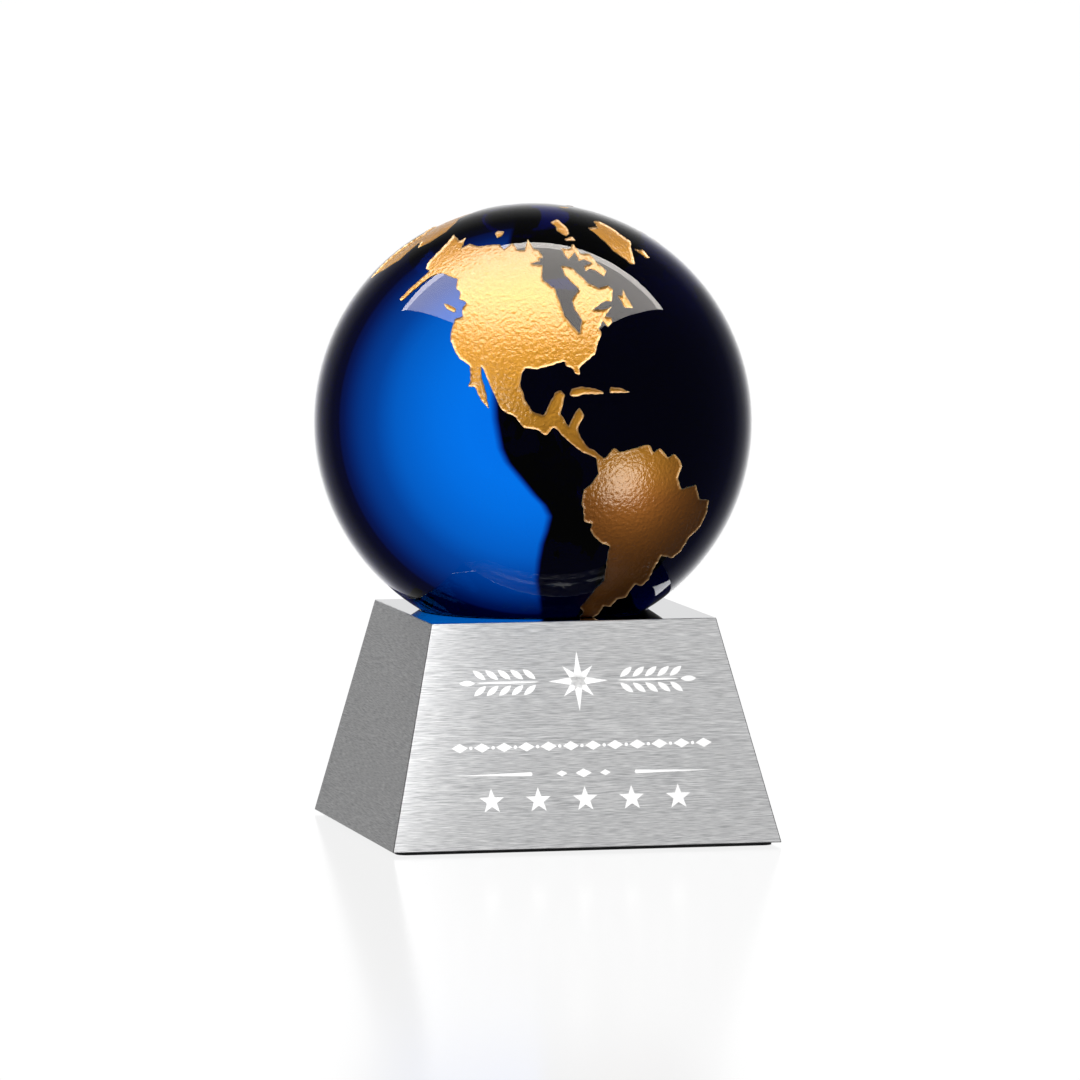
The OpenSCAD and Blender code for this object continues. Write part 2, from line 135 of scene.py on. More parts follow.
def polishedCobaltGlass():
    # Solid cobalt-tinted crystal, ground and polished: black where the room behind is dark,
    # electric blue where it is bright, with a clean mirror on its skin
    material, add = newMaterial("polishedCobaltGlass")
    shader = add("BsdfPrincipled", {
        "Base Color": (1, 1, 1, 1), "Roughness": 0.0, "Transmission Weight": 1.0,
        "IOR": cobaltGlass["ior"]})
    density = cobaltGlass["redLoss"]
    kept = [1 - cobaltGlass[loss] / density for loss in ("redLoss", "greenLoss", "blueLoss")]
    absorption = add("VolumeAbsorption", {"Density": density, "Color": kept + [1.0]})
    add("OutputMaterial", {"Surface": shader, "Volume": absorption})
    return material


goldFilling = {
    "bright": "#F4BF4C",
    "deep": "#DEA63A",
    "shadedCopper": "#B47238",   # painted shade: the lower lands turn a darker, redder copper towards the foot of the ball
    "north": "#B48334",    # a darker tone on the polar lands, towards the top of the ball
    "lip": "#FFE9BC",      # painted highlight: near-white cream along the coasts, for the light caught on the coast walls
    # tone, the heights in radii over the centre where it starts and is full, and its share
    "zones": [("shadedCopper", 0.05, -0.30, 0.85), ("north", 0.62, 0.85, 0.90)],
    "paintedCoastGlintShare": 0.90,
    "grain": 0.66 * mm,    # hammered dimples of the sandblasted floor
    "bump": 0.17 * mm,
    "powder": 0.20 * mm,   # grain of the paint, drawn coarser than it is so that it shows
    "powderBump": 0.03 * mm,
    "roughness": (0.66, 0.82),
    "lacquer": 1.8,        # refractive index of the clear coat over it
    "lacquerRoughness": 0.18,
}


def gildedEtching():
    # Gold size and leaf laid over sandblasted glass: a soft metallic glow broken into
    # small hammered facets
    material, add = newMaterial("gildedEtching")
    place = add("TexCoord").outputs["Object"]
    dimples = add("TexNoise", {
        "Vector": place, "Scale": 1 / goldFilling["grain"], "Detail": 2.0, "Roughness": 0.5})
    powder = add("TexNoise", {"Vector": place, "Scale": 1 / goldFilling["powder"], "Detail": 2.0})
    tone = add("Mix", {
        "Factor": dimples, 6: linearColor(goldFilling["deep"]),
        7: linearColor(goldFilling["bright"])}, data_type="RGBA")
    height = add("SeparateXYZ", [place]).outputs["Z"]
    # painted shade: below the ball's centre the gold is mixed towards a darker, redder copper; near
    # the top it is mixed towards a darker tone
    shares = [(name, add("MapRange", {
        "Value": height, "From Min": ballCentre.z + start * ballRadius,
        "From Max": ballCentre.z + full * ballRadius, "To Max": share}))
        for name, start, full, share in goldFilling["zones"]]
    # painted highlight: a near-white cream is mixed in along the coasts
    lip = add("Attribute", attribute_name="lip")
    shares.append(("lip", add("MapRange", {
        "Value": lip.outputs["Fac"], "To Max": goldFilling["paintedCoastGlintShare"]})))
    for name, share in shares:
        tone = add("Mix", {
            "Factor": share, 6: tone.outputs[2], 7: linearColor(goldFilling[name])},
            data_type="RGBA")
    low, high = goldFilling["roughness"]
    rough = add("MapRange", {"Value": powder, "To Min": low, "To Max": high})
    fine = add("Bump", {"Height": powder, "Strength": 0.35, "Distance": goldFilling["powderBump"]})
    hammered = add("Bump", {
        "Height": dimples, "Normal": fine, "Strength": 1.0, "Distance": goldFilling["bump"]})
    shader = add("BsdfPrincipled", {
        "Base Color": tone.outputs[2], "Metallic": 1.0, "Roughness": rough, "Normal": hammered,
        "Coat Weight": 1.0, "Coat Roughness": goldFilling["lacquerRoughness"],
        "Coat IOR": goldFilling["lacquer"], "Coat Normal": hammered})
    add("OutputMaterial", [shader])
    return material


brushedBlock = {
    "dark": "#A8A9AB",
    "light": "#FFFFFF",
    "scratch": 0.09 * mm,    # height of one brush line, several real grit lines wide
    "runLength": 3.0 * mm,   # how far a line runs before it fades
    "depth": 0.01 * mm,
    "roughness": (0.34, 0.42),
}


def brushedAluminium():
    # Satin-brushed aluminium, lines running level round the block: a vertical sheen
    # with fine level streaks
    material, add = newMaterial("brushedAluminium")
    place = add("TexCoord").outputs["Object"]
    run, line = brushedBlock["runLength"], brushedBlock["scratch"]
    lines = add("Mapping", {"Vector": place, "Scale": (1 / run, 1 / run, 1 / line)})
    streaks = add("TexNoise", {"Vector": lines, "Scale": 1.0, "Detail": 2.5, "Roughness": 0.6})
    contrast = add("MapRange", {"Value": streaks, "From Min": 0.28, "From Max": 0.72})
    tone = add("Mix", {
        "Factor": contrast, 6: linearColor(brushedBlock["dark"]),
        7: linearColor(brushedBlock["light"])}, data_type="RGBA")
    broad = add("Mapping", {"Vector": place, "Scale": (1 / run / 4, 1 / run / 4, 1 / line / 6)})
    bands = add("TexNoise", {"Vector": broad, "Scale": 1.0, "Detail": 2.0})
    low, high = brushedBlock["roughness"]
    rough = add("MapRange", {"Value": bands, "To Min": low, "To Max": high})
    tangent = add("Tangent", direction_type="UV_MAP", uv_map="brushing")
    bump = add("Bump", {"Height": streaks, "Strength": 0.2, "Distance": brushedBlock["depth"]})
    shader = add("BsdfPrincipled", {
        "Base Color": tone.outputs[2], "Metallic": 1.0, "Roughness": rough, "Normal": bump,
        "Anisotropic": 0.6, "Anisotropic Rotation": 0.25, "Tangent": tangent})
    add("OutputMaterial", [shader])
    return material


blockTopFace = {"color": "#B0B1B4", "haze": 4 * mm, "roughness": (0.01, 0.04)}


def polishedAluminium():
    # Diamond-faced top: nearly a mirror, with the faintest turning haze
    material, add = newMaterial("polishedAluminium")
    place = add("TexCoord").outputs["Object"]
    haze = add("TexNoise", {"Vector": place, "Scale": 1 / blockTopFace["haze"], "Detail": 4.0})
    low, high = blockTopFace["roughness"]
    rough = add("MapRange", {"Value": haze, "To Min": low, "To Max": high})
    shader = add("BsdfPrincipled", {
        "Base Color": linearColor(blockTopFace["color"]), "Metallic": 1.0, "Roughness": rough})
    add("OutputMaterial", [shader])
    return material


markFilling = {"dull": "#F1F1EF", "clean": "#FFFFFF", "peel": 0.5 * mm, "bump": 0.02 * mm,
               "roughness": 0.4}


def bakedEnamel():
    # White enamel baked into the engraving: opaque, satin, very slightly dimpled
    material, add = newMaterial("bakedEnamel")
    place = add("TexCoord").outputs["Object"]
    peel = add("TexNoise", {"Vector": place, "Scale": 1 / markFilling["peel"], "Detail": 2.0})
    tone = add("Mix", {
        "Factor": peel, 6: linearColor(markFilling["dull"]),
        7: linearColor(markFilling["clean"])}, data_type="RGBA")
    bump = add("Bump", {"Height": peel, "Strength": 0.2, "Distance": markFilling["bump"]})
    shader = add("BsdfPrincipled", {
        "Base Color": tone.outputs[2], "Roughness": markFilling["roughness"], "Normal": bump})
    add("OutputMaterial", [shader])
    return material


padFoam = {"pit": "#0B0B0C", "skin": "#232325", "cell": 0.25 * mm, "bump": 0.05 * mm,
           "roughness": 0.85}


def evaFoam():
    # Closed-cell black foam, die cut: matte, with its cells open at the cut edge
    material, add = newMaterial("evaFoam")
    place = add("TexCoord").outputs["Object"]
    cells = add("TexVoronoi", {"Vector": place, "Scale": 1 / padFoam["cell"]})
    tone = add("Mix", {
        "Factor": cells, 6: linearColor(padFoam["pit"]), 7: linearColor(padFoam["skin"])},
        data_type="RGBA")
    bump = add("Bump", {"Height": cells, "Strength": 0.6, "Distance": padFoam["bump"]})
    shader = add("BsdfPrincipled", {
        "Base Color": tone.outputs[2], "Roughness": padFoam["roughness"], "Normal": bump})
    add("OutputMaterial", [shader])
    return material


ballAdhesive = {"tint": "#F4F8FA", "ior": 1.5, "flow": 3 * mm, "roughness": (0.02, 0.10)}


def clearAdhesive():
    # UV-cured acrylic: water clear, seen only as a thin line under the ball
    material, add = newMaterial("clearAdhesive")
    place = add("TexCoord").outputs["Object"]
    flow = add("TexNoise", {"Vector": place, "Scale": 1 / ballAdhesive["flow"]})
    low, high = ballAdhesive["roughness"]
    rough = add("MapRange", {"Value": flow, "To Min": low, "To Max": high})
    shader = add("BsdfPrincipled", {
        "Base Color": linearColor(ballAdhesive["tint"]), "Roughness": rough,
        "Transmission Weight": 1.0, "IOR": ballAdhesive["ior"]})
    add("OutputMaterial", [shader])
    return material


glass = polishedCobaltGlass()
gold = gildedEtching()
brushed = brushedAluminium()
polished = polishedAluminium()
enamel = bakedEnamel()
foam = evaFoam()
adhesive = clearAdhesive()
print("materials made")


# Ball: solid glass ground flat below, its lands etched and filled with gold

coast = {
    "weld": 0.003 * mm,     # CAD corners closer than this are one
    "topBand": 0.025 * mm,  # how far below its outermost point an inlay's face may lie
    "step": 0.24 * mm,      # spacing of points along a coast
    "softening": 1,         # passes that round the stencil's corners
    "wander": 0.16 * mm,    # how far the sandblast strays from the stencil
    "wanderScale": 0.9 * mm,
}
etching = {
    "depth": 0.40 * mm,     # pocket floor below the polished surface
    "overlap": 0.03 * mm,   # gold bites this far into the glass, so no air gap shows inside
    "rim": 0.006 * mm,      # gold stops this far below the surface
    "floor": 0.24 * mm,     # top of the gold below the surface
    "slope": 0.34 * mm,     # width of the sloping wall
    "roll": 75,             # degrees the gold's skin has turned inwards where it meets the coast
    "dimple": 0.022 * mm,   # height of the hammered dimples
    "dimpleScale": 0.85 * mm,
    "cell": 0.27 * mm,      # mesh spacing on the Americas and the islands
    "wideCell": 0.40 * mm,  # mesh spacing on the widest land
    "wideLand": "afro",     # how its name starts
    "inlandShore": 200,     # a second coast with fewer points than this is a lake's
}


def coastLoops(node):
    # outlines of an inlay, as unit directions from the ball's centre
    source = frame["nodes"][node].data
    copy = bmesh.new()
    copy.from_mesh(source)
    bmesh.ops.remove_doubles(copy, verts=copy.verts, dist=coast["weld"])
    reach = max((v.co - ballCentre).length for v in copy.verts)
    top = {v for v in copy.verts if (v.co - ballCentre).length > reach - coast["topBand"]}
    rim = [e for e in copy.edges
           if sum(all(v in top for v in f.verts) for f in e.link_faces) == 1]
    around = {}
    for edge in rim:
        for vert in edge.verts:
            around.setdefault(vert, []).append(edge)
    loops, seen = [], set()
    for edge in rim:
        if edge in seen:
            continue
        vert, current, loop = edge.verts[0], edge, []
        while current:
            seen.add(current)
            vert = current.other_vert(vert)
            loop.append((vert.co - ballCentre).normalized())
            current = next((e for e in around[vert] if e not in seen), None)
        if len(loop) > 5:
            loops.append([np.array(p) for p in loop])
    copy.free()
    return [softLoop(loop) for loop in loops]


def softLoop(loop):
    # even steps along the coast, corners rounded, then a seeded wander
    points = np.array(loop)
    closed = np.vstack([points, points[:1]])
    lengths = np.linalg.norm(np.diff(closed, axis=0), axis=1) * ballRadius
    along = np.concatenate([[0], np.cumsum(lengths)])
    count = max(12, int(round(along[-1] / coast["step"])))
    at = np.linspace(0, along[-1], count, endpoint=False)
    even = np.column_stack([np.interp(at, along, closed[:, k]) for k in range(3)])
    for _ in range(coast["softening"]):
        even = (np.roll(even, 1, 0) + 2 * even + np.roll(even, -1, 0)) / 4
    scale = ballRadius / coast["wanderScale"]
    shift = np.array([list(noise.noise_vector(Vector(p) * scale)) for p in even])
    even = even + shift * coast["wander"] / ballRadius
    return even / np.linalg.norm(even, axis=1)[:, None]


def flatten(points, axis):
    # stereographic plane about an axis: circles stay circles, so triangles stay well shaped
    side = Vector((0, 0, 1)).cross(axis) if abs(axis.z) < 0.99 else Vector((1, 0, 0))
    u = np.array(side.normalized())
    w = np.array(axis)
    v = np.cross(w, u)
    height = 1 + points @ w
    return np.column_stack([points @ u / height, points @ v / height]), (u, v, w)


def unflatten(flat, basis):
    u, v, w = basis
    s = (flat ** 2).sum(1)[:, None]
    return (2 * flat[:, :1] * u + 2 * flat[:, 1:] * v + (1 - s) * w) / (1 + s)


def turnsLeft(flat):
    # whether a flat ring runs anticlockwise
    x, y = flat.T
    return (x * np.roll(y, -1) - np.roll(x, -1) * y).sum() > 0


def triangulate(flat, loops):
    # constrained Delaunay; each triangle comes back with the loops that hold it
    rings, start = [], 0
    for loop in loops:
        ring = list(range(start, start + len(loop)))
        rings.append(ring if turnsLeft(flat[ring]) else ring[::-1])
        start += len(loop)
    verts, _, faces, _, _, inside = geometry.delaunay_2d_cdt(
        [Vector(p) for p in flat], [], rings, 0, 1e-7, True)
    return np.array([list(p) for p in verts]), np.array(faces), inside


def meshFrom(name, points, faces, material):
    mesh = bpy.data.meshes.new(name)
    mesh.from_pydata([list(p) for p in points], [], [list(f) for f in faces])
    mesh.materials.append(material)
    mesh.polygons.foreach_set("use_smooth", [True] * len(mesh.polygons))
    mesh.update()
    return mesh


lands = {name: coastLoops(name) for name in sorted(frame["nodes"]) if name.endswith("_gold")}
print("coasts read:", len(lands), "lands")

rowPitch = 0.866          # height of an even-sided triangle over its side

glassBall = {
    "cell": 1.15 * mm,      # mesh spacing of the polished surface
    "flatSteps": 200,       # points round the ground flat
    "arris": 0.15 * mm,     # bevel where the flat meets the ball
}


def fibonacciPoints(count):
    # even scatter over a unit sphere
    i = np.arange(count) + 0.5
    z = 1 - 2 * i / count
    turn = math.pi * (1 + 5 ** 0.5) * i
    r = np.sqrt(1 - z * z)
    return np.column_stack([r * np.cos(turn), r * np.sin(turn), z])


def distanceTo(points, others):
    # how far each point lies from the nearest of the others
    tree = KDTree(len(others))
    for i, p in enumerate(others):
        tree.insert(p, i)
    tree.balance()
    return np.array([tree.find(p)[2] for p in points])


def clearOf(points, others, gap):
    # the points that keep a distance from the others
    return points[distanceTo(points, others) > gap]


def edgesOf(faces):
    # directed edges of triangles, face by face
    return [(int(f[k]), int(f[(k + 1) % 3])) for f in faces for k in range(3)]


def sharpen(work, degrees):
    # edges that turn more than this stay crisp under smooth shading
    for edge in work.edges:
        if len(edge.link_faces) != 2 or edge.calc_face_angle(0) > math.radians(degrees):
            edge.smooth = False


def buildBall():
    flatZ = ballLow.z - ballCentre.z
    ringZ = (flatZ + glassBall["arris"]) / ballRadius
    turns = np.linspace(0, 2 * math.pi, glassBall["flatSteps"], endpoint=False)
    ringR = math.sqrt(1 - ringZ * ringZ)
    ring = np.column_stack([ringR * np.cos(turns), ringR * np.sin(turns),
                            np.full(len(turns), ringZ)])
    loops = [loop for group in lands.values() for loop in group] + [ring]
    fixed = np.vstack(loops)
    cell = glassBall["cell"] / ballRadius
    loose = fibonacciPoints(int(4 * math.pi / (cell * cell * rowPitch)))
    loose = loose[loose[:, 2] > ringZ + cell * 0.4]
    loose = clearOf(loose, fixed, cell * 0.45)
    flat, basis = flatten(np.vstack([fixed, loose]), Vector((0, 0, 1)))
    verts, faces, inside = triangulate(flat, loops)
    unit = unflatten(verts, basis)
    outerRing = len(loops) - 1
    # a land inside a land, such as an inland sea, is polished surface again
    etched = np.array([len([k for k in ids if k != outerRing]) % 2 == 1 for ids in inside])
    kept = np.array([outerRing in ids for ids in inside])
    ocean, land = faces[kept & ~etched], faces[kept & etched]
    count = len(unit)
    points = np.vstack([unit * ballRadius, unit * (ballRadius - etching["depth"])])
    skin, shore = set(edgesOf(faces[kept])), set(edgesOf(ocean))
    landSides = edgesOf(land)
    walls = [(x, y, y + count, x + count) for x, y in landSides if (y, x) in shore]
    # the lowest land runs off the foot of the skin: its pocket is closed there as well
    hem = {pair for pair in skin if pair[::-1] not in skin}
    walls += [(x, y, y + count, x + count) for x, y in landSides if (x, y) in hem]
    angle = {a: math.atan2(unit[a][1], unit[a][0]) for a, b in hem}
    ringIndex = sorted(angle, key=angle.get)
    foot = len(points)
    inner = flatRadius - glassBall["arris"]
    points = np.vstack([points, [(inner * math.cos(angle[i]), inner * math.sin(angle[i]), flatZ)
                                 for i in ringIndex]])
    steps = len(ringIndex)
    arris = [(ringIndex[k], foot + k, foot + (k + 1) % steps, ringIndex[(k + 1) % steps])
             for k in range(steps)]
    cap = [tuple(foot + k for k in reversed(range(steps)))]
    walls = [w[::-1] for w in walls]
    allFaces = [list(f) for f in ocean] + [list(f + count) for f in land] + walls + arris + cap
    mesh = meshFrom("globeGlass", points + centreArray, allFaces, glass)
    smoothFaces = len(ocean) + len(land)
    work = bmesh.new()
    work.from_mesh(mesh)
    bmesh.ops.delete(work, geom=[v for v in work.verts if not v.link_faces], context="VERTS")
    openEdges = sum(len(e.link_faces) != 2 for e in work.edges)
    sharpen(work, 25)
    work.to_mesh(mesh)
    work.free()
    # true radial normals on the polished skin and the etched floors, flat ones elsewhere
    normals = []
    for poly in mesh.polygons:
        for v in poly.vertices:
            if poly.index < smoothFaces:
                normals.append((mesh.vertices[v].co - ballCentre).normalized())
            else:
                normals.append(poly.normal.copy())
    mesh.normals_split_custom_set(normals)
    print("ball:", len(mesh.polygons), "faces,", openEdges, "open edges")
    return mesh


def sideways(loop):
    # unit directions across a coast
    ahead = np.roll(loop, -1, 0) - np.roll(loop, 1, 0)
    side = np.cross(loop, ahead)
    return side / np.linalg.norm(side, axis=1)[:, None]


def widened(loop, inner):
    # the coast moved outwards by the overlap; an inland shore moves the other way
    flat, _ = flatten(loop, Vector(loop.mean(0)).normalized())
    outward = (-1 if turnsLeft(flat) else 1) * (-1 if inner else 1)
    wide = loop + sideways(loop) * outward * etching["overlap"] / ballRadius
    return wide / np.linalg.norm(wide, axis=1)[:, None]


def buildInlay(name, loops):
    # hammered gold that lines an etched pocket: sloping walls, dimpled floor, closed underneath
    middle = Vector(np.vstack(loops).mean(0)).normalized()
    loops = [widened(loop, inner=len(loops) > 1 and len(loop) < etching["inlandShore"])
             for loop in loops]
    fixed = np.vstack(loops)
    wide = name.startswith(etching["wideLand"])
    step = etching["wideCell" if wide else "cell"] / ballRadius
    flatFixed, basis = flatten(fixed, middle)
    low, high = flatFixed.min(0), flatFixed.max(0)
    rows = int((high[1] - low[1]) / (step / 2 * rowPitch)) + 1
    columns = int((high[0] - low[0]) / (step / 2)) + 1
    grid = np.array([(low[0] + (i + 0.5 * (j % 2)) * step / 2, low[1] + j * step / 2 * rowPitch)
                     for j in range(rows) for i in range(columns)])
    loose = clearOf(unflatten(grid, basis), fixed, 0.6 * step)
    # one row of points down the sloping wall, where the land is wide enough
    wall = [loop + sideways(loop) * sign * etching["slope"] / ballRadius
            for loop in loops for sign in (1, -1)]
    wall = clearOf(np.vstack(wall), fixed, 0.85 * etching["slope"] / ballRadius)
    loose = clearOf(loose, wall, 0.5 * step) if len(wall) else loose
    unit = np.vstack([fixed, wall, loose])
    flat, basis = flatten(unit, middle)
    verts, faces, inside = triangulate(flat, loops)
    faces = faces[np.array([len(ids) == 1 for ids in inside])]
    used = np.unique(faces)
    renumber = {old: new for new, old in enumerate(used)}
    unit = unflatten(verts[used], basis)
    faces = [[renumber[i] for i in f] for f in faces]
    down = np.clip(distanceTo(unit, fixed) * ballRadius / etching["slope"], 0, 1)
    scale = ballRadius / etching["dimpleScale"]
    dimples = np.array([noise.fractal(Vector(p) * scale, 1.0, 2.0, 2) for p in unit])
    outer = (ballRadius - etching["rim"] - (etching["floor"] - etching["rim"]) * down
             + dimples * etching["dimple"] * down)
    inner = np.full(len(unit), ballRadius - etching["depth"] - etching["overlap"])
    count = len(unit)
    points = np.vstack([unit * outer[:, None], unit * inner[:, None]]) + centreArray
    edges = {(f[k], f[(k + 1) % 3]) for f in faces for k in range(3)}
    sides = [(a, a + count, b + count, b) for a, b in edges if (b, a) not in edges]
    under = [[f[2] + count, f[1] + count, f[0] + count] for f in faces]
    mesh = meshFrom(name, points, faces + under + sides, gold)
    work = bmesh.new()
    work.from_mesh(mesh)
    sharpen(work, 55)
    work.to_mesh(mesh)
    work.free()
    shore = {a for pair in edges if pair[::-1] not in edges for a in pair}
    rollLip(mesh, unit, np.array(faces), shore, 1 - down)
    return mesh


def rollLip(mesh, unit, faces, shore, lip):
    # the gold's skin curls down from the coast; the same share is stored for its material, which
    # paints a highlight with it along the coast
    corners = np.array([v.co for v in mesh.vertices])[:len(unit)]
    a, b, c = (corners[faces[:, k]] for k in range(3))
    turned = np.zeros_like(corners)
    inward = np.zeros_like(corners)
    across = np.cross(b - a, c - a)
    middle = unit[faces].mean(axis=1)
    for k in range(3):
        np.add.at(turned, faces[:, k], across)
        np.add.at(inward, faces[:, k], middle - unit[faces[:, k]])
    roll = math.radians(etching["roll"])
    shoreline = np.array(sorted(shore))
    side = inward[shoreline] - unit[shoreline] * (
        (inward[shoreline] * unit[shoreline]).sum(axis=1)[:, None])
    side /= np.linalg.norm(side, axis=1)[:, None] + 1e-12
    turned[shoreline] = unit[shoreline] * math.cos(roll) + side * math.sin(roll)
    turned /= np.linalg.norm(turned, axis=1)[:, None] + 1e-12
    normals = []
    for poly in mesh.polygons:
        for v in poly.vertices:
            normals.append(turned[v] if poly.index < len(faces) else poly.normal.copy())
    mesh.normals_split_custom_set(normals)
    share = np.zeros(len(mesh.vertices))
    share[:len(unit)] = lip
    mesh.attributes.new("lip", "FLOAT", "POINT").data.foreach_set("value", share)


newPiece("globe_ball", buildBall(), "cobalt_glass", "globe_glass")
goldFaces = 0
for landName, landLoops in lands.items():
    inlay = buildInlay(landName.replace("_gold", "_gilding"), landLoops)
    newPiece(inlay.name, inlay, "gold_filling", landName)
    goldFaces += len(inlay.polygons)
print("gilding:", goldFaces, "faces")


# Base block: the tapered form comes from the four corners above and below

blockShape = {
    "edge": 0.14 * mm,       # eased edges
    "edgeSteps": 3,
    "sideArea": 1e-4,        # square metres; smaller faces belong to the eased edges
    "uvScale": 10,
}


def newGeometryTree(name, inputs):
    # a geometry tree with named inputs, the node that gives them and what adds other nodes
    tree = bpy.data.node_groups.new(name, "GeometryNodeTree")
    tree.interface.new_socket(name="Geometry", in_out="INPUT", socket_type="NodeSocketGeometry")
    tree.interface.new_socket(name="Geometry", in_out="OUTPUT", socket_type="NodeSocketGeometry")
    for inputName, kind, value in inputs:
        socket = tree.interface.new_socket(name=inputName, in_out="INPUT", socket_type=kind)
        socket.default_value = value
    return tree, tree.nodes.new("NodeGroupInput"), partial(addNode, tree)


def meshOf(name, work, material):
    # what was built in a bmesh becomes a mesh
    mesh = bpy.data.meshes.new(name)
    work.to_mesh(mesh)
    work.free()
    mesh.materials.append(material)
    return mesh


def bakeTree(name, tree, values, seed=None):
    # runs a geometry tree once on a seed mesh and returns the plain mesh it makes
    carrier = bpy.data.objects.new(name + "Carrier", seed or bpy.data.meshes.new(name + "Seed"))
    scene.collection.objects.link(carrier)
    modifier = carrier.modifiers.new(name, "NODES")
    modifier.node_group = tree
    for item in tree.interface.items_tree:
        if item.item_type == "SOCKET" and item.in_out == "INPUT" and item.name in values:
            modifier[item.identifier] = values[item.name]
    bpy.context.view_layer.update()
    evaluated = carrier.evaluated_get(bpy.context.evaluated_depsgraph_get())
    mesh = bpy.data.meshes.new_from_object(evaluated)
    mesh.name = name
    bpy.data.objects.remove(carrier)
    return mesh


def blockTaper():
    # half sizes at the bottom and top edges, from the two levels where the sides run straight
    points = [v.co for v in frame["nodes"]["base_block"].data.vertices]
    levels = sorted({round(p.z, 6) for p in points})
    ends = []
    for level in (levels[1], levels[-2]):
        ring = [p for p in points if abs(p.z - level) < 2e-6]
        ends.append((level, max(p.x for p in ring), max(p.y for p in ring)))
    (z0, x0, y0), (z1, x1, y1) = ends
    low, high = levels[0], levels[-1]

    def halfAt(z):
        t = (z - z0) / (z1 - z0)
        return x0 + (x1 - x0) * t, y0 + (y1 - y0) * t
    return low, high, halfAt(low), halfAt(high)


blockLow, blockTop, halfBottom, halfTop = blockTaper()
faceSlope = math.atan2(halfBottom[1] - halfTop[1], blockTop - blockLow)


def buildBlock():
    # tree: a cube whose sections shrink evenly from the bottom size to the top size
    tree, given, add = newGeometryTree("taperedBlock", [
        (end + size, "NodeSocketFloat", 0.0) for size in (" Width", " Depth", "")
        for end in ("Bottom", "Top")] + [("Finish", "NodeSocketMaterial", brushed)])
    cube = add("GeometryNodeMeshCube", {"Size": (1, 1, 1)})
    split = add("SeparateXYZ", [add("GeometryNodeInputPosition")])
    width, depth, height = (add("MapRange", {
        "Value": split.outputs["Z"], "From Min": -0.5, "From Max": 0.5,
        "To Min": given.outputs["Bottom" + size], "To Max": given.outputs["Top" + size]})
        for size in (" Width", " Depth", ""))
    x, y = (add("Math", (split.outputs[k], size), operation="MULTIPLY")
            for k, size in (("X", width), ("Y", depth)))
    moved = add("CombineXYZ", (x, y, height))
    shaped = add("GeometryNodeSetPosition", {"Geometry": cube, "Position": moved})
    real = add("GeometryNodeRealizeInstances", [shaped])
    coated = add("GeometryNodeSetMaterial",
                     {"Geometry": real, "Material": given.outputs["Finish"]})
    add("NodeGroupOutput", [coated])
    mesh = bakeTree("baseBlock", tree, {
        "Bottom Width": 2 * halfBottom[0], "Bottom Depth": 2 * halfBottom[1],
        "Top Width": 2 * halfTop[0], "Top Depth": 2 * halfTop[1],
        "Bottom": blockLow, "Top": blockTop})
    work = bmesh.new()
    work.from_mesh(mesh)
    bmesh.ops.bevel(work, geom=list(work.edges), offset=blockShape["edge"],
                    segments=blockShape["edgeSteps"], profile=0.5, affect="EDGES")
    work.normal_update()
    brushing = work.loops.layers.uv.new("brushing")
    for face in work.faces:
        face.smooth = face.calc_area() < blockShape["sideArea"]
        face.material_index = 1 if face.normal.z > 0.99 else 0
        level = Vector((0, 0, 1)).cross(face.normal)
        level = level.normalized() if level.length > 0.1 else Vector((1, 0, 0))
        upward = face.normal.cross(level)
        for loop in face.loops:
            loop[brushing].uv = (loop.vert.co.dot(level) * blockShape["uvScale"],
                                 loop.vert.co.dot(upward) * blockShape["uvScale"])
    mesh.materials.clear()
    for material in (brushed, polished):
        mesh.materials.append(material)
    work.to_mesh(mesh)
    work.free()
    return mesh


newPiece("base_form", buildBlock(), "brushed_aluminium", "base_block")
print("block made")


# Front marks: unit shapes set out on the slanted face by one tree

enamelMarks = {
    "proud": 0.03 * mm,     # enamel stands this far above the metal
    "sunk": 0.05 * mm,
    "rose": {"long": 5.5, "short": 3.96, "waist": 1.1},          # radii, mm
    "laurel": {"start": 7.2, "pairs": 5, "pitch": 2.3, "firstLeaf": 0.6, "lastLeaf": 0.3,
               "leaf": 2.9, "thick": 0.36, "spread": 38, "offset": 0.55, "stem": 0.384},
    "band": {"count": 12, "length": 45, "lozenge": (3.0, 1.7), "bead": 0.32},
    "rules": {"gap": 9.4, "length": 14.4, "thick": 0.7, "lead": -0.97,
              "middle": ((0, 3, 1.6), (-4, 2, 1.1), (4, 2, 1.1))},
    "stars": {"count": 5, "pitch": 8.6, "radius": 2.4, "waist": 0.96},
}


